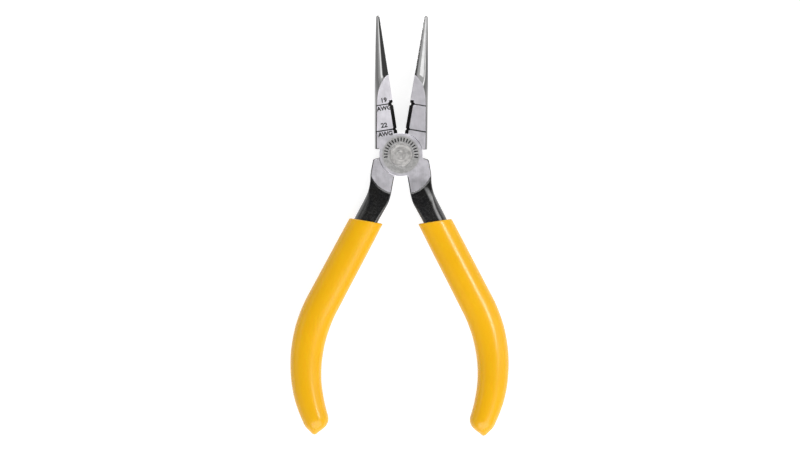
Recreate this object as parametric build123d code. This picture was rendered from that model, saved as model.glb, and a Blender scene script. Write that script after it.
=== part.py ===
"""Long-nose electrician's pliers with a lap joint, side cutters, two wire-stripping notches and dipped grips.

Frame: millimetres, origin on the pivot axis at the back of the joint, +Z out of the front face, +Y towards
the jaw tips. Each half is drawn closed, with its gripping plane on x = 0, its jaw at -x and its handle at +x,
and is then turned about the pivot to the half-open rest pose. The rear half is the same forging turned over.
"""

import os
from math import cos, radians, sin, sqrt, tan

from build123d import *

# Head
THICKNESS = 9.0  # joint and jaw root, face to face
MID = THICKNESS / 2
REST_ANGLE = 9.2  # each half is turned this far from closed
REACH = 70.0  # larger than the head, for cutting boxes

# Jaws: an elliptical cone, shared by both halves when they are closed
TIP_Y = 50.2
TIP_HALF_WIDTH = 1.15
TIP_HALF_THICKNESS = 1.25
WIDTH_TAPER = 0.1853  # half-width gained per mm from the tip
WIDTH_CURVE = 0.00041  # and lost again per mm squared, which bows the outer edge
THICKNESS_TAPER = 0.150  # half-thickness gained per mm from the tip
SWEEP_Y = 29.0  # from here to the root the cone swells beyond the flat ground faces
SWEEP_RISE, SWEEP_LENGTH = 7.6, 10.0
JAW_SECTIONS = 13
SHOULDER = (-8.9, 3.4)  # jaw shoulder at the outer edge
SHOULDER_SLOPE = -0.16  # square to the outer edge
TIP_ROUND = 0.3

# Serrations on the gripping faces
SERRATION_START, SERRATION_END = 29.6, 49.6
SERRATION_COUNT = 25
SERRATION_DEPTH = 0.16

# Side cutters and stripping notches
CUTTER_START, CUTTER_END = 7.8, 19.7
BEVEL_WIDTH = 1.25  # seen from the front
EDGE_HALF_LAND = 0.12  # half of the flat along the cutting edge
NOTCHES = {18.45: 0.52, 9.4: 0.38}  # y of each notch and its radius
GROOVE_WIDTH, GROOVE_DEPTH = 0.36, 0.14  # index line engraved beside each notch

# Lap joint
DISC_RADIUS = 7.7
DISC_CHAMFER = 0.25
LAP_GAP = 0.06  # between the two discs
RECESS_CLEARANCE = 0.15  # round each disc, in the other half
TICK_COUNT = 19  # short stamped marks round the front disc
TICK_SWEEP = 198.0  # degrees of arc that they cover, centred on the top
TICK_RADII = (4.75, 6.1)
TICK_WIDTH, TICK_DEPTH = 0.42, 0.12

# Pivot rivet
SHANK_RADIUS = 2.6
FRONT_HEAD_RADIUS, REAR_HEAD_RADIUS = 4.0, 3.6
HEAD_RIM = 0.5  # straight part of each head
HEAD_DEPTH = 1.6  # countersink included
HEAD_CHAMFER = 0.15
RUNNING_CLEARANCE = 0.05  # in the rear half, which turns on the rivet

# Handle tangs: rounded bars, each with two ground faces round the joint
TANG_TOP_Y, TANG_BOTTOM_Y = 0.6, -32.4
# Each row below is evenly spaced down the tang
TANG_INNER_X = (0.8, 0.9, 1.0, 1.08, 1.15, 1.2, 1.6, 2.62, 3.7, 4.7, 5.7, 6.7)
TANG_OUTER_X = (9.3, 9.4, 9.5, 9.52, 9.2, 9.3, 10.05, 11.05, 12.05, 13.0, 14.0, 15.0)
TANG_HALF_THICKNESSES = (4.9, 4.9, 4.88, 4.84, 4.76, 4.6, 4.32, 3.98, 3.66, 3.4, 3.2, 3.0)
TANG_INNER_RADII = (0.3, 0.3, 0.3, 0.35, 0.4, 0.5, 0.65, 0.85, 1.05, 1.25, 1.45, 1.6)
TANG_OUTER_RADII = (0.3, 0.3, 0.35, 0.5, 0.9, 1.7, 2.7, 3.3, 3.4, 3.2, 3.0, 2.8)
TANG_SHOULDER = (9.45, -3.2)
TANG_SHOULDER_SLOPE = -0.48
FACE_CENTRE = (0.5, -3.5)  # of the circle that the faces are ground to
FACE_RADIUS = 10.3
FACE_STEP = 0.3  # drop over the bevel round that circle
BAR_THICKNESS = 5.6  # inside the grip
BAR_ROUND = 1.7
BAR_TOP_Y = -29.0

# Handle centreline: straight and leaning out, then one arc that brings the end back in
LEAN = 18.4
LEAN_AT = (8.27, -25.1)  # a point on the straight run
ARC_START_Y = -56.5
ARC_RADIUS = 50.0
END_ANGLE = -29.9  # lean of the last grip section
BAR_END_ANGLE = -27.5
BAR_HALF_WIDTHS = (4.1, 4.3, 3.6)  # at its top, at the start of the arc, and at its end

# Dipped grips
LIP_Y = -25.1  # level that the handles were dipped to
GRIP_STATIONS = (-0.06, 0.05, 0.15, 0.28, 0.44, 0.56, 0.68, 0.80, 0.90, 1.0)  # share of the length below the lip
GRIP_HALF_WIDTHS = (5.68, 5.76, 5.82, 5.86, 5.94, 5.93, 5.74, 5.42, 5.08, 4.72)
GRIP_HALF_THICKNESSES = (4.15, 4.25, 4.38, 4.48, 4.5, 4.48, 4.42, 4.34, 4.26, 4.16)
GRIP_END_LENGTH = 4.9  # of the rounded end

PIVOT = Axis((0, 0, 0), (0, 0, 1))
LEAN_DIRECTION = Vector(sin(radians(LEAN)), -cos(radians(LEAN)))
ARC_START = Vector(LEAN_AT[0] + (LEAN_AT[1] - ARC_START_Y) * tan(radians(LEAN)), ARC_START_Y)
ARC_CENTRE = ARC_START - ARC_RADIUS * Vector(cos(radians(LEAN)), sin(radians(LEAN)))


def turned_over(shape):
    """The same shape as it sits in the rear half: half a turn about the tool's length."""
    return shape.rotate(Axis((0, 0, MID), (0, 1, 0)), 180)


def slab(low, high):
    """A box between two corners."""
    size = Vector(*high) - Vector(*low)
    return Box(size.X, size.Y, size.Z, align=(Align.MIN,) * 3).moved(Location(low))


def prism(points, thickness=THICKNESS, bottom=0.0):
    """A straight-sided solid on an outline in the XY plane."""
    return extrude(make_face(Polyline(*points, close=True)), thickness).moved(Location((0, 0, bottom)))


def jaw_half_width(y):
    run = TIP_Y - y
    return TIP_HALF_WIDTH + WIDTH_TAPER * run - WIDTH_CURVE * run**2


def jaw_half_thickness(y):
    swept = max(SWEEP_Y - y, 0) ** 2
    taper = TIP_HALF_THICKNESS + THICKNESS_TAPER * (TIP_Y - y)
    return taper + SWEEP_RISE * swept / (swept + SWEEP_LENGTH**2)


def jaw():
    """One jaw: half of the elliptical cone, flattened by the two ground faces."""
    sections = []
    for i in range(JAW_SECTIONS):
        y = TIP_Y * (1 - i / (JAW_SECTIONS - 1))
        plane = Plane(origin=(0, y, MID), x_dir=(1, 0, 0), z_dir=(0, 1, 0))
        sections.append(plane * Ellipse(jaw_half_width(y), jaw_half_thickness(y)))
    cone = loft(sections)
    cone = fillet(cone.faces().sort_by(Axis.Y)[-1].edges(), TIP_ROUND)
    inner_y = SHOULDER[1] + SHOULDER_SLOPE * (0 - SHOULDER[0])
    outer_y = SHOULDER[1] + SHOULDER_SLOPE * (-REACH - SHOULDER[0])
    window = prism([(0, inner_y), (0, REACH), (-REACH, REACH), (-REACH, outer_y)])
    return cone & window


def serrations():
    """Fine teeth across the gripping face, as one comb-shaped cutter."""
    pitch = (SERRATION_END - SERRATION_START) / SERRATION_COUNT
    comb = [(1, SERRATION_START), (0, SERRATION_START)]
    for i in range(SERRATION_COUNT):
        crest = SERRATION_START + (i + 1) * pitch
        comb += [(-SERRATION_DEPTH, crest - pitch / 2), (0, crest)]
    return prism([*comb, (1, SERRATION_END)])


def cutter_relief():
    """What is ground away on both sides of the cutting edge."""
    plane = Plane(origin=(0, CUTTER_START, 0), x_dir=(1, 0, 0), z_dir=(0, -1, 0))
    above = [
        (-BEVEL_WIDTH, THICKNESS),
        (0, MID + EDGE_HALF_LAND),
        (1, MID + EDGE_HALF_LAND),
        (1, THICKNESS + 1),
        (-BEVEL_WIDTH, THICKNESS + 1),
    ]
    below = [(x, THICKNESS - z) for x, z in above]
    faces = [plane * make_face(Polyline(*points, close=True)) for points in (above, below)]
    return [extrude(face, -(CUTTER_END - CUTTER_START)) for face in faces]


def stripping_notch(y, radius):
    """A half-round groove up each bevel, so that two closed jaws leave a round hole."""
    rise = MID - EDGE_HALF_LAND
    length = 1.3 * sqrt(BEVEL_WIDTH**2 + rise**2)
    grooves = []
    for side in (1, -1):
        plane = Plane(origin=(0, y, MID), x_dir=(0, 1, 0), z_dir=(-BEVEL_WIDTH, 0, side * rise))
        grooves.append(extrude(plane * Circle(radius), length))
    return grooves


def index_lines():
    """Engraved lines that run out across the front face from each notch."""
    return [
        slab(
            (-REACH, y - GROOVE_WIDTH / 2, THICKNESS - GROOVE_DEPTH),
            (-BEVEL_WIDTH, y + GROOVE_WIDTH / 2, THICKNESS + 1),
        )
        for y in NOTCHES
    ]


def handle_point(angle, offset):
    """A point beside the centreline's arc, where the lean is angle, offset outwards from the centreline."""
    return ARC_CENTRE + (ARC_RADIUS + offset) * Vector(cos(radians(angle)), sin(radians(angle)))


def tang_section(width, thickness, inner_radius, outer_radius):
    """A rectangle with one radius on its two inner corners and another on its two outer ones."""
    section = Rectangle(width, thickness)
    section = fillet(section.vertices().group_by(Axis.X)[0], inner_radius)
    return fillet(section.vertices().group_by(Axis.X)[-1], outer_radius)


def tang():
    """The handle from the joint to just inside the grip: a bar whose edges round off further down."""
    sections = []
    stations = zip(TANG_INNER_X, TANG_OUTER_X, TANG_HALF_THICKNESSES, TANG_INNER_RADII, TANG_OUTER_RADII)
    for i, (inner, outer, half_thickness, inner_radius, outer_radius) in enumerate(stations):
        y = TANG_TOP_Y + (TANG_BOTTOM_Y - TANG_TOP_Y) * i / (len(TANG_INNER_X) - 1)
        plane = Plane(origin=((inner + outer) / 2, y, MID), x_dir=(1, 0, 0), z_dir=(0, -1, 0))
        sections.append(plane * tang_section(outer - inner, 2 * half_thickness, inner_radius, outer_radius))
    bar = loft(sections)
    low = (0, TANG_SHOULDER[1] + TANG_SHOULDER_SLOPE * (0 - TANG_SHOULDER[0]))
    high = (REACH, TANG_SHOULDER[1] + TANG_SHOULDER_SLOPE * (REACH - TANG_SHOULDER[0]))
    bar = bar & prism([low, high, (REACH, -REACH), (0, -REACH)])
    return bar - face_bevel() - face_bevel().mirror(Plane.XY.offset(MID))


def face_bevel():
    """A shallow step down round the ground circle, which leaves the forged surface a little lower."""
    edge = (FACE_RADIUS, THICKNESS)
    foot = (FACE_RADIUS + 2 * FACE_STEP, THICKNESS - FACE_STEP)
    above = [(REACH, THICKNESS - FACE_STEP), (REACH, THICKNESS + 1), (FACE_RADIUS, THICKNESS + 1)]
    profile = [edge, foot, *above]
    return revolved(profile).moved(Location((*FACE_CENTRE, 0)))


def bar_outline():
    """Outline of the handle inside the grip."""
    top, shoulder, end = BAR_HALF_WIDTHS
    out = Vector(cos(radians(LEAN)), sin(radians(LEAN)))
    start = Vector(*LEAN_AT) + (LEAN_AT[1] - BAR_TOP_Y) / cos(radians(LEAN)) * LEAN_DIRECTION
    end_direction = Vector(sin(radians(BAR_END_ANGLE)), -cos(radians(BAR_END_ANGLE)))
    inner_start, outer_start = handle_point(LEAN, -shoulder), handle_point(LEAN, shoulder)
    inner_end, outer_end = handle_point(BAR_END_ANGLE, -end), handle_point(BAR_END_ANGLE, end)
    return make_face(
        [
            Line(start - top * out, inner_start),
            TangentArc(inner_start, inner_end, tangent=LEAN_DIRECTION),
            ThreePointArc(inner_end, handle_point(BAR_END_ANGLE, 0) + end * end_direction, outer_end),
            TangentArc(outer_start, outer_end, tangent=LEAN_DIRECTION),
            Line(outer_start, start + top * out),
            Line(start + top * out, start - top * out),
        ]
    )


def grip_bar():
    """The part of the handle inside the grip, with rounded edges."""
    bar = extrude(bar_outline(), BAR_THICKNESS).moved(Location((0, 0, MID - BAR_THICKNESS / 2)))
    edges = bar.faces().sort_by(Axis.Z)[0].edges() + bar.faces().sort_by(Axis.Z)[-1].edges()
    return fillet(edges, BAR_ROUND)


def disc():
    """The front layer of the lap joint."""
    bottom = MID + LAP_GAP / 2
    plate = Cylinder(DISC_RADIUS, THICKNESS - bottom, align=(Align.CENTER, Align.CENTER, Align.MIN))
    rim = plate.edges().filter_by(GeomType.CIRCLE).sort_by(Axis.Z)[-1]
    return chamfer(rim, DISC_CHAMFER).moved(Location((0, 0, bottom)))


def blank_half():
    """One forging, closed, before its rivet hole: jaw, disc and tang with the other half's disc recess."""
    recess = Cylinder(
        DISC_RADIUS + RECESS_CLEARANCE, MID + LAP_GAP / 2, align=(Align.CENTER, Align.CENTER, Align.MIN)
    )
    full = jaw() + tang() + grip_bar() - recess
    half = full + disc() - serrations()
    for cut in cutter_relief():
        half -= cut
    for y, radius in NOTCHES.items():
        for groove in stripping_notch(y, radius):
            half -= groove
    return half


def revolved(profile):
    """A turned solid from radius and height pairs."""
    face = Plane.XZ * make_face(Polyline(*profile, close=True))
    return revolve(face, Axis.Z)


def rivet_profile(head_radius, clearance=0.0):
    """Front end of the rivet, from its middle to its flush head, grown all round by a clearance."""
    shank, head = SHANK_RADIUS + clearance, head_radius + clearance
    seat = THICKNESS - HEAD_DEPTH - clearance
    rim = THICKNESS - HEAD_RIM - clearance
    return [(0, MID), (shank, MID), (shank, seat), (head, rim), (head, THICKNESS), (0, THICKNESS)]


def rivet():
    """The pivot: a shank with a flush countersunk head at each end, each head's rim chamfered."""
    ends = []
    for head_radius in (FRONT_HEAD_RADIUS, REAR_HEAD_RADIUS):
        end = revolved(rivet_profile(head_radius))
        rim = end.edges().filter_by(GeomType.CIRCLE).sort_by(Axis.Z)[-1]
        ends.append(chamfer(rim, HEAD_CHAMFER))
    return ends[0] + turned_over(ends[1])


def tick_marks():
    """Short plain marks stamped round the front disc."""
    inner, outer = TICK_RADII
    marks = []
    for i in range(TICK_COUNT):
        angle = (i / (TICK_COUNT - 1) - 0.5) * TICK_SWEEP
        mark = slab((-TICK_WIDTH / 2, inner, THICKNESS - TICK_DEPTH), (TICK_WIDTH / 2, outer, THICKNESS + 1))
        marks.append(mark.rotate(PIVOT, angle - REST_ANGLE))
    return marks


def front_half():
    """Left jaw and right handle, closed. The rivet is fixed in it."""
    through = revolved([(0, 0), (SHANK_RADIUS, 0), (SHANK_RADIUS, MID), (0, MID)])
    half = blank_half() - revolved(rivet_profile(FRONT_HEAD_RADIUS)) - through
    for cut in [*index_lines(), *tick_marks()]:
        half -= cut
    return half


def rear_half():
    """Right jaw and left handle, closed. It turns on the rivet."""
    half = turned_over(blank_half())
    half -= turned_over(revolved(rivet_profile(REAR_HEAD_RADIUS, RUNNING_CLEARANCE)))
    bore = SHANK_RADIUS + RUNNING_CLEARANCE
    half -= revolved([(0, 0), (bore, 0), (bore, THICKNESS), (0, THICKNESS)])
    for cut in index_lines():
        half -= cut.mirror(Plane.YZ)
    return half


def grip_plane(share):
    """A plane square to the handle's centreline, at that share of the way from the lip to the last section."""
    straight = (LIP_Y - ARC_START_Y) / cos(radians(LEAN))
    turn = radians(LEAN - END_ANGLE)
    along = share * (straight + ARC_RADIUS * turn)
    if along <= straight:
        lean = LEAN
        spot = Vector(*LEAN_AT) + along * LEAN_DIRECTION
    else:
        lean = LEAN - (LEAN - END_ANGLE) * (along - straight) / (ARC_RADIUS * turn)
        spot = handle_point(lean, 0)
    outwards = (cos(radians(lean)), sin(radians(lean)), 0)
    forwards = (sin(radians(lean)), -cos(radians(lean)), 0)
    return Plane(origin=(spot.X, spot.Y, MID), x_dir=outwards, z_dir=forwards)


def grip():
    """Dipped sleeve of one handle, open at the lip and closed at its rounded end."""
    sizes = zip(GRIP_STATIONS, GRIP_HALF_WIDTHS, GRIP_HALF_THICKNESSES)
    tube = loft([grip_plane(share) * Ellipse(width, thick) for share, width, thick in sizes])
    dome = Sphere(1, arc_size1=0, align=(Align.CENTER, Align.CENTER, Align.MIN))
    end = scale(dome, by=(GRIP_HALF_WIDTHS[-1], GRIP_HALF_THICKNESSES[-1], GRIP_END_LENGTH))
    outside = tube + grip_plane(1.0).location * end
    above_lip = slab((-REACH, LIP_Y, -1), (REACH, REACH, THICKNESS + 1))
    return outside - above_lip - tang() - grip_bar()


def main():
    os.makedirs("parts", exist_ok=True)
    sleeve = grip()
    parts = {
        "front_half": front_half().rotate(PIVOT, REST_ANGLE),
        "rear_half": rear_half().rotate(PIVOT, -REST_ANGLE),
        "pivot_rivet": rivet().rotate(PIVOT, REST_ANGLE),
        "right_grip": sleeve.rotate(PIVOT, REST_ANGLE),
        "left_grip": turned_over(sleeve).rotate(PIVOT, -REST_ANGLE),
    }
    for name, shape in parts.items():
        export_step(shape, f"parts/{name}.step")


main()
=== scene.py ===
"""Needle nose pliers: forged halves, rivet, gauge marks and dipped grips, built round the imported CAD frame.

Lengths are in millimetres until a mesh is made, in the CAD's own frame: origin on the pivot axis at the
back face, +Y to the jaw tips, +Z out of the front face. A half is described closed, jaw at -x and handle
at +x, with its gripping plane on x = 0, and is then turned about the pivot to its rest pose.
"""

from math import copysign, cos, pi, radians, sin, tan

import bmesh
import bpy
import numpy as np
from mathutils import Matrix, Vector


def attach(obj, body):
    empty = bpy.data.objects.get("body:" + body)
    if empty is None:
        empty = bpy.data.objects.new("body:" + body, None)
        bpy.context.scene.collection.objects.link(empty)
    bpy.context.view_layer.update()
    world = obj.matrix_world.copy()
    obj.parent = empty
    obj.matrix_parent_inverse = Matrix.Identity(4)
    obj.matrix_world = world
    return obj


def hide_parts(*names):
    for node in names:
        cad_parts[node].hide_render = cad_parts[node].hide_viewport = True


MM = 0.001
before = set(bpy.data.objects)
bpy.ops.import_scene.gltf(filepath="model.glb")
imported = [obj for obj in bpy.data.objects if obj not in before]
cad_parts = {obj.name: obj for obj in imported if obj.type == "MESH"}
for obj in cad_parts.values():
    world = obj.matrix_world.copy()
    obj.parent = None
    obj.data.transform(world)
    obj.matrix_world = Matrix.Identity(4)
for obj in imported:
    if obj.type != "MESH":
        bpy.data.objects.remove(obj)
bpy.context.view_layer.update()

# Head and jaws, as in the CAD
THICKNESS = 9.0
MID = THICKNESS / 2
REST_ANGLE = 9.2
TIP_Y = 50.2
TIP_HALF_WIDTH, WIDTH_TAPER, WIDTH_CURVE = 1.15, 0.1853, 0.00041
TIP_HALF_THICKNESS, THICKNESS_TAPER = 1.25, 0.150
SWEEP_Y, SWEEP_RISE, SWEEP_LENGTH = 29.0, 7.6, 10.0
SHOULDER, SHOULDER_SLOPE = (-8.9, 3.4), -0.16
TIP_ROUND, SHOULDER_ROUND = 0.6, 0.25
SERRATION_START, SERRATION_END, SERRATION_COUNT, SERRATION_DEPTH = 29.6, 49.6, 25, 0.16
SERRATION_FADE = 0.4  # the teeth run out over this much below each face
CUTTER_START, CUTTER_END = 7.8, 19.7
BEVEL_WIDTH, EDGE_HALF_LAND = 1.25, 0.12
NOTCHES = {18.45: 0.52, 9.4: 0.38}
GROOVE_WIDTH, GROOVE_DEPTH = 0.36, 0.14

# Lap joint and rivet
DISC_RADIUS, DISC_CHAMFER, RECESS_RADIUS, LAP_Z = 7.7, 0.06, 7.74, 4.53
DISC_FILLETS = (0.03, 0.3)  # where a disc meets its own half: at the gripping plane, and away from it
TICK_COUNT, TICK_SWEEP, TICK_RADII = 19, 198.0, (4.75, 6.1)
TICK_WIDTH, TICK_DEPTH = 0.42, 0.12
SHANK_RADIUS, FRONT_HEAD_RADIUS, REAR_HEAD_RADIUS = 2.6, 4.0, 3.6
HEAD_RIM, HEAD_DEPTH = 0.5, 1.6
RUNNING_CLEARANCE = 0.05
JAW_GAP = 0.02  # half of what is left between the closed jaws

# Handle tangs
TANG_TOP_Y, TANG_BOTTOM_Y = 0.6, -32.4
TANG_INNER_X = (0.8, 0.9, 1.0, 1.08, 1.15, 1.2, 1.6, 2.62, 3.7, 4.7, 5.7, 6.7)
TANG_OUTER_X = (9.3, 9.4, 9.5, 9.52, 9.2, 9.3, 10.05, 11.05, 12.05, 13.0, 14.0, 15.0)
TANG_HALF_THICKNESSES = (4.9, 4.9, 4.88, 4.84, 4.76, 4.6, 4.32, 3.98, 3.66, 3.4, 3.2, 3.0)
TANG_INNER_RADII = (0.3, 0.3, 0.3, 0.35, 0.4, 0.5, 0.65, 0.85, 1.05, 1.25, 1.45, 1.6)
TANG_OUTER_RADII = (0.3, 0.3, 0.35, 0.5, 0.9, 1.7, 2.7, 3.3, 3.4, 3.2, 3.0, 2.8)
TANG_SHOULDER, TANG_SHOULDER_SLOPE, TANG_SHOULDER_ROUND = (9.45, -3.2), -0.48, 0.5
ROOT_LIFT = 0.6  # added to the tang's half thickness where its faces are ground flat
FACE_CENTRE, FACE_RADIUS = (0.5, -3.5), 10.3  # the circle that the faces are ground to
FACE_STEP, FACE_STEP_RUN = 0.3, 0.6  # drop round that circle, and how far out it takes

# Handle centreline, the bar inside the grip, and the grip
LEAN, END_ANGLE, BAR_END_ANGLE = radians(18.4), radians(-29.9), radians(-27.5)
LEAN_AT = np.array([8.27, -25.1])
ARC_START_Y, ARC_RADIUS = -56.5, 50.0
LEAN_DIRECTION = np.array([sin(LEAN), -cos(LEAN)])
ARC_START = np.array([LEAN_AT[0] + (LEAN_AT[1] - ARC_START_Y) * tan(LEAN), ARC_START_Y])
ARC_CENTRE = ARC_START - ARC_RADIUS * np.array([cos(LEAN), sin(LEAN)])
BAR_TOP_Y, BAR_HALF_THICKNESS, BAR_ROUND, BAR_END_ROUND = -29.0, 2.8, 1.7, 3.0
BAR_HALF_WIDTHS = (4.1, 4.3, 3.6)
LIP_Y = -25.1
GRIP_SHARES = (0.0, 0.15, 0.28, 0.44, 0.56, 0.68, 0.80, 0.90, 1.0)
GRIP_HALF_WIDTHS = (5.71, 5.82, 5.86, 5.94, 5.93, 5.74, 5.42, 5.14, 4.62)
GRIP_HALF_THICKNESSES = (4.2, 4.38, 4.48, 4.5, 4.48, 4.42, 4.34, 4.26, 4.16)
GRIP_END_LENGTH, DRIP_LENGTH = 5.2, 0.4
GRIP_END_SHIFT, DRIP_SHIFT = 0.22, 2.0  # the end leans in a little, and the last drip hung straight down
LIP_ROUND = 0.42

# Sampling grid for the forgings: fine in the head and near the ground faces
FINE, COARSE = ((0.15, 0.45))
EDGE = 0.10  # rounding of the ground edges
WORN_EDGE = 0.42  # added to it on the tangs and on the jaw roots' outer edges
FINE_EDGE, RECESS_EDGE = 0.05, 0.06  # rounding of stamped and turned edges, and of the recess
MERGE_DISTANCE = 0.01  # vertices nearer than this are one

# Gauge lettering on the front half: text, place and height, as on the closed half
GAUGE_MARKS = {
    "mark_19": ("19", -3.1, 19.95, 1.6),
    "mark_awg_upper": ("AWG", -3.4, 17.1, 1.5),
    "mark_22": ("22", -4.3, 11.15, 1.6),
    "mark_awg_lower": ("AWG", -4.3, 8.05, 1.5),
}
CAPITAL_SHARE = 0.72  # roughly what a capital's height is of the letter size
MARK_HALF_DEPTH, MARK_RISE, MARK_BOLDNESS = 0.006, 0.004, 0.085

# A painted highlight streak on the oxide at the top of the right tang: the direction across it and how far
# out it lies
HIGHLIGHT_ACROSS, HIGHLIGHT_OFFSET = (0.894, 0.447), 2.86

IMAGE_WIDTH_MM = 284.0  # what the picture spans at the middle of the tool
IMAGE_CENTRE = (-0.18, -24.85)
CAMERA_HEIGHT = 1200.0
CAMERA_ROLL = 0.4

ROOM_LEVEL, DARK_LEVEL = 0.38, 0.05
DARK_PATCH = (-0.28, 0.18, 1.0)


# ---------------------------------------------------------------- forged halves


def between(value, start, end):
    """A straight ramp from 0 at start to 1 at end, and level beyond both."""
    return np.clip((value - start) / (end - start), 0, 1)


def about_pivot(x, y, turn):
    """x and y turned about the pivot."""
    return x * cos(turn) - y * sin(turn), x * sin(turn) + y * cos(turn)


def smooth_max(a, b, width):
    """The larger of two distances, with the edge between them rounded over a width."""
    overlap = np.maximum(width - np.abs(a - b), 0)
    return np.maximum(a, b) + overlap**2 / (4 * width)


def smooth_min(a, b, width):
    return -smooth_max(-a, -b, width)


def smooth_table(y, top, bottom, values):
    """Values evenly spaced from top to bottom, read at y along a smooth curve through them."""
    v = np.array(values)
    v = np.concatenate([[2 * v[0] - v[1]], v, [2 * v[-1] - v[-2]]])
    fine = np.linspace(0, len(values) - 1, 240)
    i = np.minimum(fine.astype(int), len(values) - 2)
    t = fine - i
    a, b, c, d = v[i], v[i + 1], v[i + 2], v[i + 3]
    cubic = 1.5 * (b - c) + (d - a) / 2
    curve = b + t * ((c - a) / 2 + t * (a - 2.5 * b + 2 * c - d / 2 + t * cubic))
    return np.interp((y - top) / (bottom - top) * (len(values) - 1), fine, curve)


def rounded_box(u, v, half_u, half_v, radius):
    """Distance in a plane to a rectangle with rounded corners."""
    qu = np.abs(u) - half_u + radius
    qv = np.abs(v) - half_v + radius
    outside = np.hypot(np.maximum(qu, 0), np.maximum(qv, 0))
    inside = np.minimum(np.maximum(qu, qv), 0)
    return outside + inside - radius


def jaw(x, y, w):
    """Half of a flattened elliptical cone, toothed on its gripping face. w is height above mid thickness."""
    run = TIP_Y - y
    half_width = TIP_HALF_WIDTH + WIDTH_TAPER * run - WIDTH_CURVE * run**2
    swept = np.maximum(SWEEP_Y - y, 0) ** 2
    swell = SWEEP_RISE * swept / (swept + SWEEP_LENGTH**2)
    half_thick = TIP_HALF_THICKNESS + THICKNESS_TAPER * run + swell
    k = np.hypot(x / half_width, w / half_thick)
    cone = k * (k - 1) / (np.hypot(x / half_width**2, w / half_thick**2) + 1e-9)
    pitch = (SERRATION_END - SERRATION_START) / SERRATION_COUNT
    phase = (y - SERRATION_START) / pitch
    tooth = SERRATION_DEPTH * (1 - np.abs(2 * (phase - np.floor(phase)) - 1))
    toothed = (y > SERRATION_START) & (y < SERRATION_END)
    fade = between(np.minimum(half_thick, MID) - np.abs(w), 0, SERRATION_FADE)
    grip_face = x + JAW_GAP + np.where(toothed, tooth * fade, 0)
    shoulder = (SHOULDER[1] + SHOULDER_SLOPE * (x - SHOULDER[0]) - y) / np.hypot(1, SHOULDER_SLOPE)
    shape = smooth_max(cone, grip_face, EDGE)
    shape = smooth_max(shape, y - TIP_Y, TIP_ROUND)
    return smooth_max(shape, shoulder, SHOULDER_ROUND)


def bevel_distance(x, w):
    """Distance beyond the two ground bevels that meet at the cutting edge."""
    slope = BEVEL_WIDTH / (MID - EDGE_HALF_LAND)
    return (x + slope * np.maximum(np.abs(w) - EDGE_HALF_LAND, 0)) / np.hypot(1, slope)


def cutter_and_notches(shape, x, y, w):
    bevel = bevel_distance(x, w)
    middle, half_length = (CUTTER_START + CUTTER_END) / 2, (CUTTER_END - CUTTER_START) / 2
    shape = smooth_max(shape, -np.maximum(-bevel, np.abs(y - middle) - half_length), EDGE)
    for notch_y, radius in NOTCHES.items():
        shape = smooth_max(shape, radius - np.hypot(y - notch_y, bevel), EDGE)
    return shape


def along_handle(x, y):
    """Distance down the handle's centreline from the start of its arc, and offset outwards from it."""
    px, py = x - ARC_CENTRE[0], y - ARC_CENTRE[1]
    lean = np.arctan2(py, px)
    straight = (x - ARC_START[0]) * LEAN_DIRECTION[0] + (y - ARC_START[1]) * LEAN_DIRECTION[1]
    across = (x - ARC_START[0]) * cos(LEAN) + (y - ARC_START[1]) * sin(LEAN)
    on_arc = (lean < LEAN) & (px > 0)
    along = np.where(on_arc, (LEAN - lean) * ARC_RADIUS, straight)
    offset = np.where(on_arc, np.hypot(px, py) - ARC_RADIUS, across)
    return along, offset


def tang(x, y, w):
    """The handle: a bar whose edges round off as it goes down, and then its plainer run inside the grip."""
    span = (TANG_TOP_Y, TANG_BOTTOM_Y)
    inner, outer = smooth_table(y, *span, TANG_INNER_X), smooth_table(y, *span, TANG_OUTER_X)
    half_thick = smooth_table(y, *span, TANG_HALF_THICKNESSES) + ROOT_LIFT * between(y, -16, -14)
    middle = (inner + outer) / 2
    inner_radius = smooth_table(y, *span, TANG_INNER_RADII)
    outer_radius = smooth_table(y, *span, TANG_OUTER_RADII)
    radius = np.where(x > middle, outer_radius, inner_radius)
    bar = rounded_box(x - middle, w, (outer - inner) / 2, half_thick, radius)
    shoulder = y - TANG_SHOULDER[1] - TANG_SHOULDER_SLOPE * (x - TANG_SHOULDER[0])
    bar = smooth_max(bar, shoulder / np.hypot(1, TANG_SHOULDER_SLOPE), TANG_SHOULDER_ROUND)
    bar = np.maximum(bar, TANG_BOTTOM_Y - y)
    return np.minimum(bar, bar_in_grip(x, y, w))


def bar_in_grip(x, y, w):
    """The tang's run inside the grip."""
    along, offset = along_handle(x, y)
    arc_end = (LEAN - BAR_END_ANGLE) * ARC_RADIUS
    stations = ((BAR_TOP_Y - ARC_START_Y) / -cos(LEAN), 0.0, arc_end)
    half_width = np.interp(along, stations, BAR_HALF_WIDTHS)
    bar = rounded_box(offset, w, half_width, BAR_HALF_THICKNESS, BAR_ROUND)
    bar = smooth_max(bar, along - arc_end - BAR_HALF_WIDTHS[-1], BAR_END_ROUND)
    return np.maximum(bar, stations[0] - along)


def ticks(x, y, z):
    """Short stamped marks round the upper part of the front disc."""
    angle = np.arctan2(-x, y) + radians(REST_ANGLE)
    step = radians(TICK_SWEEP) / (TICK_COUNT - 1)
    nearest = np.clip(np.round(angle / step), -(TICK_COUNT // 2), TICK_COUNT // 2) * step
    reach = np.hypot(x, y)
    across = np.abs(reach * np.sin(angle - nearest)) - TICK_WIDTH / 2
    along = np.abs(reach - sum(TICK_RADII) / 2) - (TICK_RADII[1] - TICK_RADII[0]) / 2
    return np.maximum(np.maximum(across, along), THICKNESS - TICK_DEPTH - z)


def index_lines(x, y, z):
    """Engraved lines from the notches out across one face."""
    lines = np.minimum(*[np.abs(y - notch_y) for notch_y in NOTCHES]) - GROOVE_WIDTH / 2
    return np.maximum(np.maximum(lines, THICKNESS - GROOVE_DEPTH - z), x + BEVEL_WIDTH)


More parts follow.
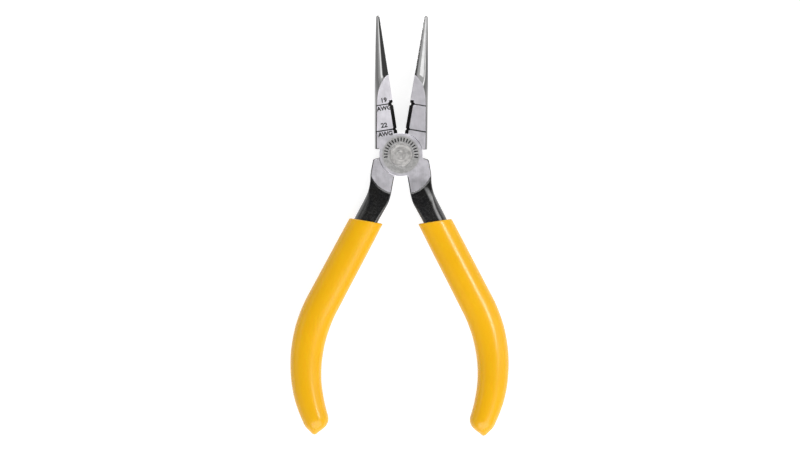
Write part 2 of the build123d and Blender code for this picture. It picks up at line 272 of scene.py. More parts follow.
def wear(x, y, reach):
    """How worn the edges of the faces are: the outer jaw root and the tang, but not round the disc."""
    jaw_root = between(x, -2, -4) * between(y, 22, 14)
    return np.maximum(jaw_root, between(y, 3, 1)) * between(reach - DISC_RADIUS, 0.2, 0.6)


def blank(x, y, z, head_radius):
    """Distance to one forging, closed, with its rivet seat."""
    w = z - MID
    reach = np.hypot(x, y)
    shape = np.minimum(cutter_and_notches(jaw(x, y, w), x, y, w), tang(x, y, w))
    rim = (reach - DISC_RADIUS + DISC_CHAMFER + z - THICKNESS) / np.sqrt(2)
    fillet = np.interp(np.abs(x), (0.5, 1.5), DISC_FILLETS)
    shape = smooth_min(shape, smooth_max(reach - DISC_RADIUS, rim, FINE_EDGE), fillet)
    step = np.hypot(x - FACE_CENTRE[0], y - FACE_CENTRE[1]) - FACE_RADIUS
    drop = np.where((y < 0) & (x > 0), FACE_STEP * between(step, 0, FACE_STEP_RUN), 0)
    shape = smooth_max(shape, np.abs(w) - MID + drop, EDGE + WORN_EDGE * wear(x, y, reach))
    shape = smooth_max(shape, -np.maximum(reach - RECESS_RADIUS, z - LAP_Z), RECESS_EDGE)
    seat = THICKNESS - HEAD_DEPTH
    hole = np.interp(z, (seat, THICKNESS - HEAD_RIM), (SHANK_RADIUS, head_radius))
    return smooth_max(shape, hole + RUNNING_CLEARANCE - reach, EDGE)


def front_shape(x, y, z):
    shape = blank(x, y, z, FRONT_HEAD_RADIUS)
    shape = smooth_max(shape, -index_lines(x, y, z), FINE_EDGE)
    return smooth_max(shape, -ticks(x, y, z), FINE_EDGE)


def rear_shape(x, y, z):
    """The same forging turned over, so x and z swap sides. Its lines are on the face seen from the front."""
    shape = blank(-x, y, THICKNESS - z, REAR_HEAD_RADIUS)
    return smooth_max(shape, -index_lines(-x, y, z), FINE_EDGE)


def grid_lines(*spans):
    """Coordinates that step through (start, end, spacing) spans."""
    parts = [np.linspace(a, b, int(round((b - a) / step)) + 1)[:-1] for a, b, step in spans]
    return np.concatenate([*parts, [spans[-1][1]]])


def surface_of(shape, xs, ys, zs):
    """Quads on the zero surface of a distance function: one vertex in each grid cell that it crosses."""
    grids = np.meshgrid(xs, ys, zs, indexing="ij")
    value = shape(*grids)
    inside = value < 0
    cells = tuple(n - 1 for n in value.shape)
    total, count = np.zeros((int(np.prod(cells)), 3)), np.zeros(int(np.prod(cells)))
    crossings = []
    for axis in range(3):
        low = tuple(slice(0, -1) if a == axis else slice(None) for a in range(3))
        high = tuple(slice(1, None) if a == axis else slice(None) for a in range(3))
        edge = np.argwhere(inside[low] != inside[high])
        far = edge.copy()
        far[:, axis] += 1
        v0, v1 = value[tuple(edge.T)], value[tuple(far.T)]
        share = v0 / (v0 - v1)
        point = np.stack([g[tuple(edge.T)] for g in grids], 1)
        point[:, axis] += share * (grids[axis][tuple(far.T)] - point[:, axis])
        others = [a for a in range(3) if a != axis]
        for da in (0, 1):
            for db in (0, 1):
                cell = edge.copy()
                cell[:, others[0]] -= da
                cell[:, others[1]] -= db
                flat = np.ravel_multi_index(tuple(cell.T), cells)
                count += np.bincount(flat, minlength=len(count))
                for i in range(3):
                    total[:, i] += np.bincount(flat, weights=point[:, i], minlength=len(count))
        crossings.append((axis, others, edge, inside[tuple(edge.T)]))
    used = count > 0
    index = np.where(used, np.cumsum(used) - 1, -1).reshape(cells)
    vertices = total[used] / count[used][:, None]
    quads = []
    for axis, others, edge, filled in crossings:
        ring = []
        for da, db in ((0, 0), (1, 0), (1, 1), (0, 1)):
            cell = edge.copy()
            cell[:, others[0]] -= da
            cell[:, others[1]] -= db
            ring.append(index[tuple(cell.T)])
        quad = np.stack(ring, 1)
        flip = filled if axis == 1 else ~filled
        quad[flip] = quad[flip][:, ::-1]
        quads.append(quad)
    return vertices, np.concatenate(quads)


def slope_of(shape, p):
    """Gradient of a distance function at points."""
    h = 0.02
    slopes = []
    for axis in range(3):
        ahead, behind = p.copy(), p.copy()
        ahead[:, axis] += h
        behind[:, axis] -= h
        slopes.append((shape(*ahead.T) - shape(*behind.T)) / (2 * h))
    return np.stack(slopes, 1)


def sampling_grid(side):
    """Grid lines along x, y and z round a closed half. z is fine near both faces and the lap."""
    across = grid_lines((-9.6, 13.2, FINE), (13.2, 26.4, COARSE))
    xs = across if side > 0 else -across[::-1]
    ys = grid_lines((-100.2, -30.0, 0.8), (-30.0, -9.0, 0.3), (-9.0, 50.7, FINE))
    zs = grid_lines((-0.3, 0.6, 0.1), (0.6, 4.2, 0.3), (4.2, 4.8, 0.1), (4.8, 8.4, 0.3), (8.4, 9.3, 0.1))
    return xs, ys, zs


def drawn_to(shape, vertices):
    """Vertices moved onto the surface itself, in three Newton steps of limited length."""
    for _ in range(3):
        slope = slope_of(shape, vertices)
        move = -shape(*vertices.T)[:, None] * slope / np.maximum((slope**2).sum(1), 0.3)[:, None]
        vertices = vertices + np.clip(move, -FINE / 2, FINE / 2)
    return vertices


def forging(name, shape, side, body, node, materials):
    """A half as a mesh. side is 1 for the front half, whose jaw is at -x, and -1 for the rear half."""
    vertices, quads = surface_of(shape, *sampling_grid(side))
    vertices = drawn_to(shape, vertices)
    turn = radians(REST_ANGLE) * side
    x, y, z = vertices.T
    placed = np.stack([*about_pivot(x, y, turn), z], 1) * MM
    mesh = bpy.data.meshes.new(name)
    mesh.from_pydata(placed.tolist(), [], quads.tolist())
    mesh.polygons.foreach_set("material_index", finish_of(vertices[quads].mean(1), side))
    for material in materials:
        mesh.materials.append(material)
    piece = bpy.data.objects.new(name, mesh)
    bpy.context.collection.objects.link(piece)
    simplify_flats(mesh)
    smooth_from(mesh, shape, turn)
    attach(piece, body)
    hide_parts(node)
    return piece


def finish_of(centre, side):
    """Material slot of each quad: 1 in engraved lines and ticks, 2 on cutters and notches, otherwise 0."""
    x, y, z = centre[:, 0] * side, centre[:, 1], centre[:, 2]
    sunk = (z < THICKNESS - 0.04) & (z > THICKNESS - 0.3)
    from_line = np.minimum(*[np.abs(y - notch_y) for notch_y in NOTCHES])
    lines = (x < -BEVEL_WIDTH - 0.05) & (from_line < GROOVE_WIDTH / 2 + 0.03)
    reach = np.hypot(x, y)
    stamped = (side > 0) & (reach > TICK_RADII[0] - 0.03) & (reach < TICK_RADII[1] + 0.03)
    bevel = bevel_distance(x, z - MID)
    on_cutter = (np.abs(bevel) < 0.07) & (y > DISC_RADIUS) & (y < CUTTER_END + 0.05)
    in_notch = [np.hypot(y - notch_y, bevel) < radius + 0.06 for notch_y, radius in NOTCHES.items()]
    between_faces = np.abs(z - MID) < MID - 0.03
    cutter = (x > -BEVEL_WIDTH - 0.6) & (on_cutter | in_notch[0] | in_notch[1]) & between_faces
    return np.where(sunk & (lines | stamped), 1, np.where(cutter, 2, 0)).astype(np.int32)


def simplify_flats(mesh):
    """Drops quads that shrank to nothing and joins the many small ones of each flat face."""
    bm = bmesh.new()
    bm.from_mesh(mesh)
    bmesh.ops.remove_doubles(bm, verts=bm.verts[:], dist=MERGE_DISTANCE * MM)
    bmesh.ops.dissolve_limit(
        bm, angle_limit=radians(0.25), verts=bm.verts[:], edges=bm.edges[:], delimit={"MATERIAL"}
    )
    bmesh.ops.triangulate(bm, faces=[f for f in bm.faces if len(f.verts) > 4])
    bm.to_mesh(mesh)
    bm.free()


def smooth_from(mesh, shape, turn):
    """Shading normals straight from the shape's own slope."""
    n = len(mesh.vertices)
    co = np.empty(n * 3)
    mesh.vertices.foreach_get("co", co)
    x, y, z = co.reshape(-1, 3).T / MM
    back = np.stack([*about_pivot(x, y, -turn), z], 1)
    slope = slope_of(shape, back)
    slope /= np.maximum(np.linalg.norm(slope, axis=1), 1e-6)[:, None]
    nx, ny, nz = slope.T
    normals = np.stack([*about_pivot(nx, ny, turn), nz], 1)
    mesh.shade_smooth()
    mesh.normals_split_custom_set_from_vertices(normals.tolist())


# ---------------------------------------------------------------- grips, rivet and marks


def handle_frame(along):
    """Point and outward direction on the handle's centreline, at a distance past the start of its arc."""
    if along <= 0:
        return ARC_START + along * LEAN_DIRECTION, LEAN
    lean = LEAN - along / ARC_RADIUS
    return ARC_CENTRE + ARC_RADIUS * np.array([cos(lean), sin(lean)]), lean


def ring_mesh(name, rings, closed_start=True, closed_end=True):
    """Quads between rings of equally many points, with a fan over each closed end."""
    bm = bmesh.new()
    loops = [[bm.verts.new(p) for p in ring] for ring in rings]
    n = len(loops[0])
    for a, b in zip(loops, loops[1:]):
        for i in range(n):
            bm.faces.new((a[i], a[(i + 1) % n], b[(i + 1) % n], b[i]))
    for closed, loop in ((closed_start, loops[0]), (closed_end, loops[-1])):
        if closed:
            centre = bm.verts.new(sum((v.co for v in loop), Vector()) / n)
            for i in range(n):
                bm.faces.new((loop[(i + 1) % n], loop[i], centre))
    bmesh.ops.recalc_face_normals(bm, faces=bm.faces)
    mesh = bpy.data.meshes.new(name)
    bm.to_mesh(mesh)
    bm.free()
    mesh.shade_smooth()
    piece = bpy.data.objects.new(name, mesh)
    bpy.context.collection.objects.link(piece)
    return piece


def sleeve_bore(share):
    """Half the bore's width and thickness, close round the bar, at a share of the sleeve's length."""
    half_width = np.interp(share, (0, 0.08, 0.4, 1.0), (4.35, 4.2, 4.2, 3.5))
    half_thick = np.interp(share, (0, 0.08, 1.0), (3.3, 2.72, 2.72))
    return half_width, half_thick


def squared(value, power):
    """A sine or cosine bent so that a circle becomes squarer: a power of 2 leaves it round."""
    return copysign(abs(value) ** (2 / power), value)


def grip(name, side, body, node, material):
    """A dipped sleeve: up the bore from its far end, over the lip, and down the skin to the drip."""
    around = 72
    angles = np.linspace(0, 2 * pi, around, endpoint=False)
    lip_along = (LIP_Y - ARC_START_Y) / -cos(LEAN)
    end_along = (LEAN - END_ANGLE) * ARC_RADIUS
    turn = radians(REST_ANGLE) * side

    def ring(share, grow_width, grow_thick, past_end=0.0, power=2.0, size=None, lower=0.0, shift=0.0):
        """One ring at a share of the length: level at the lip, and square to the handle further down."""
        half_width, half_thick = size or (
            np.interp(share, GRIP_SHARES, GRIP_HALF_WIDTHS),
            np.interp(share, GRIP_SHARES, GRIP_HALF_THICKNESSES),
        )
        points = []
        for angle in angles:
            n = (half_width * grow_width) * squared(cos(angle), power)
            up = (half_thick * grow_thick) * squared(sin(angle), power)
            lip = lip_along + n * tan(LEAN) + lower
            along = lip + (end_along - lip) * share
            spot, lean = handle_frame(along)
            x = spot[0] + (n + shift) * cos(lean) + past_end * sin(lean)
            y = spot[1] + (n + shift) * sin(lean) - past_end * cos(lean)
            x, y = about_pivot(side * x, y, turn)
            points.append((MM * x, MM * y, MM * (MID + up)))
        return points

    rings = [ring(share, 1, 1, power=3.6, size=sleeve_bore(share)) for share in np.linspace(0.97, 0.0, 24)]
    for step in np.linspace(0, pi / 2, 7):
        inset = LIP_ROUND * (1 - sin(step)) / 5.0
        rings.append(ring(0.0, 1 - inset, 1 - inset, lower=LIP_ROUND * (1 - cos(step))))
    for share in np.linspace(0.012, 1.0, 110):
        rings.append(ring(share, 1, 1, shift=-GRIP_END_SHIFT * between(share, 0.84, 1.0)))
    for step in np.linspace(0, 1, 20)[1:-1]:
        angle = step * pi / 2
        drip = DRIP_LENGTH * between(step, 0.8, 1.0) ** 1.5
        hang = DRIP_SHIFT * sin(angle) ** 6 - GRIP_END_SHIFT
        rings.append(ring(1.0, cos(angle), cos(angle), GRIP_END_LENGTH * sin(angle) + drip, shift=hang))
    piece = ring_mesh(name, rings)
    piece.data.materials.append(material)
    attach(piece, body)
    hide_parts(node)
    return piece


def turned(name, profile, material, segments=96):
    """A closed turned piece on the pivot axis, from radius and height pairs that begin and end near it."""
    rings = []
    for radius, z in profile:
        spin = [2 * pi * i / segments for i in range(segments)]
        rings.append([(MM * radius * cos(a), MM * radius * sin(a), MM * z) for a in spin])
    piece = ring_mesh(name, rings)
    piece.data.materials.append(material)
    return piece


def head_profile(radius):
    """Half of the rivet from its middle out to one head: shank, countersink, rim, groove and raised ring."""
    top = THICKNESS
    sunk = top - 0.1
    return [
        (SHANK_RADIUS, MID),
        (SHANK_RADIUS, top - HEAD_DEPTH),
        (radius, top - HEAD_RIM),
        (radius, top - 0.12),
        (radius - 0.04, top - 0.05),
        (radius - 0.12, top - 0.01),
        (radius - 0.2, top),
        (radius - 0.8, top),
        (radius - 0.86, top - 0.02),
        (radius - 0.96, sunk),
        (2.2, sunk),
        (2.1, top - 0.02),
        (2.04, top),
        (1.36, top),
        (1.3, top - 0.02),
        (1.2, sunk),
        (0.05, sunk),
    ]


def rivet(material):
    front = head_profile(FRONT_HEAD_RADIUS)
    back = [(r, THICKNESS - z) for r, z in head_profile(REAR_HEAD_RADIUS)]
    piece = turned("rivet", back[::-1] + front[1:], material)
    shading = piece.modifiers.new("edges", "WEIGHTED_NORMAL")
    shading.keep_sharp = True
    piece.data.set_sharp_from_angle(angle=radians(25))
    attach(piece, "front")
    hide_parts("pivot_rivet")
    return piece


def gauge_mark(name, text, x, y, height, material):
    """Generic wire gauge lettering on the left jaw's face, parallel to its engraved lines."""
    curve = bpy.data.curves.new(name, "FONT")
    curve.body = text
    curve.size = height / CAPITAL_SHARE * MM
    curve.align_x, curve.align_y = "CENTER", "CENTER"
    curve.extrude = MARK_HALF_DEPTH * MM
    curve.offset = MARK_BOLDNESS * MM
    curve.resolution_u = 3  # the thickened outlines come out clean at this
    source = bpy.data.objects.new(name + "_source", curve)
    bpy.context.collection.objects.link(source)
    turn = radians(REST_ANGLE)
    place = Vector((*about_pivot(x, y, turn), THICKNESS + MARK_RISE)) * MM
    source.matrix_world = Matrix.Translation(place) @ Matrix.Rotation(turn, 4, "Z")
    bpy.context.view_layer.update()
    mesh = bpy.data.meshes.new_from_object(source)
    mesh.transform(source.matrix_world)
    bpy.data.objects.remove(source)
    piece = bpy.data.objects.new(name, mesh)
    bpy.context.collection.objects.link(piece)
    mesh.materials.clear()
    mesh.materials.append(material)
    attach(piece, "front")
    return piece


# ---------------------------------------------------------------- materials


RANGE_SOCKETS = ("From Min", "From Max", "To Min", "To Max")


class Nodes:
    """Short calls for building one material's node tree."""

    def __init__(self, name):
        self.material = bpy.data.materials.new(name)
        self.material.use_nodes = True
        self.tree = self.material.node_tree
        self.shader = self.tree.nodes["Principled BSDF"]
        self.place = self.tree.nodes.new("ShaderNodeTexCoord").outputs["Object"]

    def link(self, source, target):
        if isinstance(source, bpy.types.NodeSocket):
            self.tree.links.new(source, target)
        else:
            target.default_value = source

    def math(self, operation, a, b=0.0):
        node = self.tree.nodes.new("ShaderNodeMath")
        node.operation = operation
        self.link(a, node.inputs[0])
        self.link(b, node.inputs[1])
        return node.outputs[0]

    def product(self, first, *others):
        for other in others:
            first = self.math("MULTIPLY", first, other)
        return first

    def distance(self, a, b):
        """How far a point is from the origin, from its place along two axes."""
        return self.math("SQRT", self.math("ADD", self.product(a, a), self.product(b, b)))

    def off(self, value, middle):
        """How far a value is from a middle one, either way."""
        return self.math("ABSOLUTE", self.math("SUBTRACT", value, middle))

    def ramp(self, value, low, high, to_low=0.0, to_high=1.0):
        """A smooth step from to_low to to_high as value goes from low to high."""
        node = self.tree.nodes.new("ShaderNodeMapRange")
        node.interpolation_type = "SMOOTHSTEP"
        self.link(value, node.inputs["Value"])
        for socket, number in zip(RANGE_SOCKETS, (low, high, to_low, to_high)):
            node.inputs[socket].default_value = number
        return node.outputs["Result"]

    def stretched(self, scale, turn=0.0):
        node = self.tree.nodes.new("ShaderNodeMapping")
        self.link(self.place, node.inputs["Vector"])
        node.inputs["Scale"].default_value = scale
        node.inputs["Rotation"].default_value = (0, 0, turn)
        return node.outputs["Vector"]

    def noise(self, scale, detail=3.0, vector=None, roughness=0.5):
        node = self.tree.nodes.new("ShaderNodeTexNoise")
        self.link(vector or self.place, node.inputs["Vector"])
        node.inputs["Scale"].default_value = scale
        node.inputs["Detail"].default_value = detail
        node.inputs["Roughness"].default_value = roughness
        return node.outputs["Fac"]

    def mix(self, factor, a, b):
        node = self.tree.nodes.new("ShaderNodeMix")
        node.data_type = "RGBA"
        self.link(factor, node.inputs["Factor"])
        self.link(a, node.inputs["A"])
        self.link(b, node.inputs["B"])
        return node.outputs["Result"]

    def blend(self, factor, a, b):
        node = self.tree.nodes.new("ShaderNodeMix")
        self.link(factor, node.inputs["Factor"])
        self.link(a, node.inputs["A"])
        self.link(b, node.inputs["B"])
        return node.outputs["Result"]

    def bump(self, height, distance, strength=1.0):
        node = self.tree.nodes.new("ShaderNodeBump")
        node.inputs["Distance"].default_value = distance
        node.inputs["Strength"].default_value = strength
        self.link(height, node.inputs["Height"])
        self.link(node.outputs["Normal"], self.shader.inputs["Normal"])

    def axis(self, index, vector=None):
        node = self.tree.nodes.new("ShaderNodeSeparateXYZ")
        self.link(vector or self.place, node.inputs[0])
        return node.outputs[index]

    def normal(self, index):
        """One axis of the surface's own direction."""
        return self.axis(index, self.place.node.outputs["Normal"])


def grey(value, warm=0.0):
    """A grey, or a slightly warm or cool one."""
    return (value * (1 + warm), value, value * (1 - warm), 1.0)


def steel(value):
    """The faintly violet grey of the ground faces."""
    return (value, value * 0.976, value * 1.035, 1.0)


def oxide_area(n, side):
    """1 below the circle that the faces are ground to, with a slightly wandering edge, and 0 above it."""
    x, y = n.axis(0), n.axis(1)
    centre = about_pivot(FACE_CENTRE[0] * side, FACE_CENTRE[1], radians(REST_ANGLE) * side)
    reach = n.distance(n.math("SUBTRACT", x, MM * centre[0]), n.math("SUBTRACT", y, MM * centre[1]))
    wander = n.product(n.math("SUBTRACT", n.noise(900.0, 4.0), 0.5), 0.0005)
    edge = n.ramp(n.math("ADD", reach, wander), MM * (FACE_RADIUS - 0.04), MM * (FACE_RADIUS + 0.06))
    return n.product(edge, n.ramp(y, MM * -2.5, MM * -3.5))


def ground_colour(n, side, cloud, grind):
    """Ground faces: streaky, darker on the roots than the jaws, with the rear half painted darker than the
    front as painted shade, darker still on the front root below its jaw, and dull in the middle of the front
    disc.
    """
    x, y = n.axis(0), n.axis(1)
    # painted shade: the rear half's faces are painted darker than the front's, though both are the same steel
    jaw_shade, root_shade = (0.99, 1.0) if side > 0 else (0.75, 0.94)
    streaks = n.ramp(n.math("ADD", n.product(cloud, 0.6), n.product(grind, 0.4)), 0.38, 0.62)
    root = n.mix(streaks, steel(0.57 * root_shade), steel(0.76 * root_shade))
    if side > 0:
        # darker grey on the front root below the jaw
        darker_low_root = n.mix(streaks, steel(0.41), steel(0.55))
        root = n.mix(n.ramp(y, MM * -7.5, MM * -9.8), root, darker_low_root)
    jaws = n.mix(streaks, steel(0.84 * jaw_shade), steel(0.96 * jaw_shade))
    colour = n.mix(n.ramp(y, MM * 4.0, MM * 12.0), root, jaws)
    if side > 0:
        disc = n.mix(n.ramp(n.noise(1400.0, 4.0), 0.35, 0.65), grey(0.43, 0.01), grey(0.58, 0.01))
        colour = n.mix(n.ramp(n.distance(x, y), MM * 6.9, MM * 6.3), colour, disc)
    return colour


def nose_colour(n, side, cloud):
    """Off the ground faces: a polished nose where it faces up, and everywhere else painted dark grey as a
    painted dark reflection, but for a bright rim round the discs.
    """
    x, y = n.axis(0), n.axis(1)
    facing_up = n.off(n.normal(2), 0.0)
    # how far a surface may tilt from straight up before it is painted dark, on the front and the rear half
    shaded = (0.66, 0.80) if side > 0 else (0.62, 0.72)
    polished = n.product(n.ramp(facing_up, *shaded), n.ramp(y, MM * 19.0, MM * 22.0))
    painted_dark_sides = n.mix(n.ramp(n.distance(x, y), MM * 7.8, MM * 8.0), steel(0.9), grey(0.12))
    return n.mix(polished, painted_dark_sides, n.mix(n.ramp(cloud, 0.3, 0.7), grey(0.86), grey(0.94)))


def painted_oxide_highlight(n, side, cloud):
    """A painted highlight on the tang's outer ridge, where the top turns outwards, and, on the right tang,
    along a streak up to the ground face.
    """
    x, y = n.axis(0), n.axis(1)
    facing_up = n.off(n.normal(2), 0.0)
    not_side = n.ramp(facing_up, 0.84, 0.90)
    # the ridge: where the top turns towards the outer side, and where the painted highlight goes
    ridge = n.product(not_side, n.ramp(facing_up, 0.999, 0.95), n.ramp(y, MM * -14.5, MM * -17.0))
    painted_highlight = n.product(ridge, n.ramp(n.product(n.normal(0), float(side)), 0.05, 0.15))
    if side > 0:
        across = n.math("ADD", n.product(x, HIGHLIGHT_ACROSS[0]), n.product(y, HIGHLIGHT_ACROSS[1]))
        band = n.ramp(n.off(across, MM * HIGHLIGHT_OFFSET), MM * 1.0, MM * 0.2)
        ends = n.product(n.ramp(y, MM * -11.0, MM * -12.6), n.ramp(y, MM * -17.5, MM * -15.5))
        painted_highlight = n.math("MAXIMUM", painted_highlight, n.product(band, ends, not_side))
    return n.product(painted_highlight, n.ramp(cloud, 0.2, 0.6, 0.6, 1.0))


def oxide_colour(n, side, cloud):
    """Black oxide with a faint patchy tint, painted paler as a painted highlight on the tang's outer ridge
    and along a streak on the right tang.
    """
    patch = n.ramp(n.noise(260.0, 3.0), 0.35, 0.65)
    tint = n.mix(patch, (0.002, 0.002, 0.003, 1.0), (0.005, 0.0045, 0.004, 1.0))
    black = n.mix(n.ramp(n.noise(1100.0, 5.0), 0.4, 0.75), tint, grey(0.007))
    # grey of the painted highlight: pale on the right tang, barely above black on the left
    return n.mix(painted_oxide_highlight(n, side, cloud), black, grey(0.28 if side > 0 else 0.03))


def forged_steel(side):
    """Bright steel on the head, ground on its faces and polished on the nose, with black oxide below."""
    n = Nodes("forged_steel_front" if side > 0 else "forged_steel_rear")
    turn = radians(REST_ANGLE) * side
    oxide = oxide_area(n, side)
    flat = n.ramp(n.off(n.axis(2), MM * MID), MM * (MID - 0.05), MM * (MID - 0.01))
    grind = n.noise(1.0, 5.0, n.stretched((9000.0, 260.0, 900.0), -turn), 0.6)
    polish = n.noise(1.0, 4.0, n.stretched((700.0, 5200.0, 700.0), -turn), 0.6)
    cloud = n.noise(380.0, 4.0)
    bright = n.mix(flat, nose_colour(n, side, cloud), ground_colour(n, side, cloud, grind))
    n.link(n.mix(oxide, bright, oxide_colour(n, side, cloud)), n.shader.inputs["Base Color"])
    n.link(n.blend(oxide, 1.0, 0.0), n.shader.inputs["Metallic"])
    nose_rough = n.ramp(polish, 0.3, 0.7, 0.03, 0.05)
    bright_rough = n.blend(flat, nose_rough, n.ramp(grind, 0.3, 0.7, 0.50, 0.60))
    black_rough = n.ramp(n.noise(1300.0, 4.0), 0.3, 0.7, 0.20, 0.30)
    n.link(n.blend(oxide, bright_rough, black_rough), n.shader.inputs["Roughness"])
    n.shader.inputs["IOR"].default_value = 1.8
    steel_height = n.blend(flat, n.product(polish, 0.06), n.product(grind, 0.6))
    scale = n.product(n.noise(1500.0, 5.0, None, 0.65), 2.0)
    n.bump(n.blend(oxide, steel_height, scale), 0.00001, 0.8)
    return n.material


def cutter_black():
    """Black oxide left on the ground cutting bevels and in the stripping notches."""
    n = Nodes("cutter_black")
    colour = n.mix(n.ramp(n.noise(1800.0, 4.0), 0.35, 0.7), grey(0.001), grey(0.003))
    n.link(colour, n.shader.inputs["Base Color"])
    n.link(n.ramp(n.noise(2600.0, 3.0), 0.3, 0.7, 0.62, 0.78), n.shader.inputs["Roughness"])
    n.shader.inputs["Specular IOR Level"].default_value = 0.04
    n.bump(n.noise(3000.0, 4.0), 0.00001, 0.6)
    return n.material


def engraved_dark():
    """The floor of an engraved line: dark, dull and slightly uneven."""
    n = Nodes("engraved_dark")
    colour = n.mix(n.ramp(n.noise(2500.0, 3.0), 0.3, 0.7), grey(0.008), grey(0.03))
    n.link(colour, n.shader.inputs["Base Color"])
    n.link(n.ramp(n.noise(4000.0, 3.0), 0.3, 0.7, 0.45, 0.7), n.shader.inputs["Roughness"])
    n.bump(n.noise(6000.0, 3.0), 0.00001, 0.5)
    return n.material


def rivet_steel():
    """Turned steel: fine rings round the pivot and a slightly warm tone."""
    n = Nodes("rivet_steel")
    ring_spacing = 0.16 * MM
    wobble = n.product(n.noise(500.0, 2.0), 0.00012)
    reach = n.math("ADD", n.distance(n.axis(0), n.axis(1)), wobble)
    rings = n.math("SINE", n.product(reach, 2 * pi / ring_spacing))
    cloud = n.noise(700.0, 4.0)
    colour = n.mix(n.ramp(cloud, 0.3, 0.7), grey(0.44, 0.02), grey(0.66, 0.02))
    n.link(colour, n.shader.inputs["Base Color"])
    n.shader.inputs["Metallic"].default_value = 1.0
    n.link(n.ramp(cloud, 0.3, 0.7, 0.50, 0.60), n.shader.inputs["Roughness"])
    n.bump(n.math("ADD", n.product(rings, 0.15), n.noise(3000.0, 3.0)), 0.000008, 0.7)
    return n.material


def grip_vinyl():
    """Glossy dipped vinyl: deep yellow, slightly uneven, with the faint waviness of a dipped skin."""
    n = Nodes("grip_vinyl")
    tone = n.ramp(n.noise(45.0, 3.0), 0.3, 0.7)
    colour = n.mix(tone, (0.79, 0.415, 0.006, 1.0), (0.835, 0.44, 0.007, 1.0))
    n.link(colour, n.shader.inputs["Base Color"])
    n.link(n.ramp(n.noise(160.0, 4.0), 0.3, 0.7, 0.22, 0.27), n.shader.inputs["Roughness"])
    n.shader.inputs["IOR"].default_value = 1.46
    n.shader.inputs["Subsurface Weight"].default_value = 0.12
    n.shader.inputs["Subsurface Radius"].default_value = (0.002, 0.0008, 0.0002)
    swell = n.product(n.noise(70.0, 2.0), 6.0)
    n.bump(n.math("ADD", swell, n.noise(900.0, 3.0)), 0.00001, 0.5)
    return n.material


def mark_ink():
    """Dark laser marking."""
    n = Nodes("mark_ink")
    colour = n.mix(n.ramp(n.noise(3000.0, 3.0), 0.3, 0.7), grey(0.008), grey(0.02))
    n.link(colour, n.shader.inputs["Base Color"])
    n.link(n.ramp(n.noise(5000.0, 2.0), 0.3, 0.7, 0.5, 0.7), n.shader.inputs["Roughness"])
    return n.material


def floor_paper():
    """Plain pale paper on a lit table, which keeps the shadows soft."""
    n = Nodes("floor_paper")
    n.link(n.mix(n.noise(60.0, 3.0), grey(0.43), grey(0.46)), n.shader.inputs["Base Color"])
    n.shader.inputs["Roughness"].default_value = 0.9
    n.shader.inputs["Emission Color"].default_value = (1, 1, 1, 1)
    n.shader.inputs["Emission Strength"].default_value = 0.80
    return n.material


# ---------------------------------------------------------------- stage


def floor():
    """A square of paper just below the tool."""
    half, below = 3.0, -0.0003
    mesh = bpy.data.meshes.new("floor")
    corners = [(x * half, y * half, below) for x, y in ((-1, -1), (1, -1), (1, 1), (-1, 1))]
    mesh.from_pydata(corners, [], [(0, 1, 2, 3)])
    mesh.materials.append(floor_paper())
    plane = bpy.data.objects.new("floor", mesh)
    bpy.context.collection.objects.link(plane)


def polar(from_vertical, azimuth, distance):
    """A place given by its angle from straight up, its direction from +X, and its distance in metres."""
    up, flat = distance * cos(radians(from_vertical)), distance * sin(radians(from_vertical))
    return flat * cos(radians(azimuth)), flat * sin(radians(azimuth)), up


def softbox(name, place, size, brightness):
    """A soft light of a given width and height that faces the tool."""
    lamp = bpy.data.lights.new(name, "AREA")
    lamp.shape = "RECTANGLE"
    lamp.size, lamp.size_y = size
    lamp.energy = brightness * pi * size[0] * size[1]
    light = bpy.data.objects.new(name, lamp)
    light.location = place
    light.rotation_euler = (-Vector(place)).to_track_quat("-Z", "Y").to_euler()
    bpy.context.collection.objects.link(light)
    return light


def only_for(light, pieces):
    """Lets a light fall on some pieces and on nothing else."""
    group = bpy.data.collections.new(light.name + "_receivers")
    for piece in pieces:
        group.objects.link(piece)
    light.light_linking.receiver_collection = group


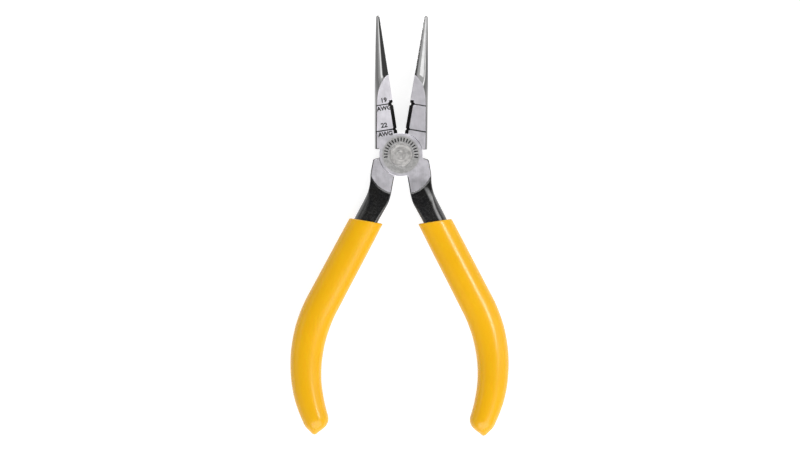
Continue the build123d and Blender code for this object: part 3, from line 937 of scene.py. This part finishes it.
def room():
    """Even surroundings with a dark patch overhead, a little to the left, that the polished nose mirrors."""
    world = bpy.data.worlds.new("studio")
    bpy.context.scene.world = world
    world.use_nodes = True
    tree = world.node_tree
    towards = tree.nodes.new("ShaderNodeVectorMath")
    towards.operation = "DOT_PRODUCT"
    towards.inputs[1].default_value = Vector(DARK_PATCH).normalized()
    tree.links.new(tree.nodes.new("ShaderNodeTexCoord").outputs["Generated"], towards.inputs[0])
    level = tree.nodes.new("ShaderNodeMapRange")
    level.interpolation_type = "SMOOTHSTEP"
    tree.links.new(towards.outputs["Value"], level.inputs["Value"])
    limits = (cos(radians(44)), cos(radians(26)), ROOM_LEVEL, DARK_LEVEL)
    for socket, number in zip(RANGE_SOCKETS, limits):
        level.inputs[socket].default_value = number
    tree.links.new(level.outputs["Result"], tree.nodes["Background"].inputs["Strength"])
    tree.nodes["Background"].inputs["Color"].default_value = (1, 1, 1, 1)


def studio(metals, sleeves):
    """The lights. The two strips draw out the long highlights on the grips and on the right jaw's nose."""
    room()
    softbox("right_box", polar(52, 4, 1.0), (0.42, 1.0), 0.52)
    softbox("left_box", polar(60, 172, 1.0), (0.6, 0.26), 0.48)
    softbox("near_box", polar(50, -80, 1.3), (2.0, 1.2), 2.2)
    softbox("far_box", polar(54, 95, 1.2), (1.4, 0.5), 2.15)
    only_for(softbox("grip_strip", polar(32.5, 20, 0.9), (0.34, 0.09), 26.0), sleeves)
    only_for(softbox("nose_strip", polar(51, 8, 0.9), (0.2, 0.06), 2.4), metals)
    only_for(softbox("metal_fill", polar(36, 110, 0.9), (0.4, 0.2), 5.8), metals)
    bpy.context.scene.view_settings.view_transform = "Standard"


def camera():
    lens = bpy.data.cameras.new("camera")
    lens.sensor_width = 36.0
    lens.lens = 36.0 * (CAMERA_HEIGHT - MID) / IMAGE_WIDTH_MM
    lens.clip_start, lens.clip_end = 0.05, 20.0
    view = bpy.data.objects.new("camera", lens)
    view.location = (IMAGE_CENTRE[0] * MM, IMAGE_CENTRE[1] * MM, CAMERA_HEIGHT * MM)
    view.rotation_euler = (0, 0, radians(CAMERA_ROLL))
    bpy.context.collection.objects.link(view)
    bpy.context.scene.camera = view


camera()
floor()
dark, oxide = engraved_dark(), cutter_black()
front = forging("front_forging", front_shape, 1, "front", "front_half", [forged_steel(1), dark, oxide])
rear = forging("rear_forging", rear_shape, -1, "rear", "rear_half", [forged_steel(-1), dark, oxide])
pin = rivet(rivet_steel())
vinyl = grip_vinyl()
right_sleeve = grip("right_sleeve", 1, "front", "right_grip", vinyl)
left_sleeve = grip("left_sleeve", -1, "rear", "left_grip", vinyl)
studio([front, rear, pin], [right_sleeve, left_sleeve])
ink = mark_ink()
for mark, (text, mark_x, mark_y, height) in GAUGE_MARKS.items():
    gauge_mark(mark, text, mark_x, mark_y, height, ink)
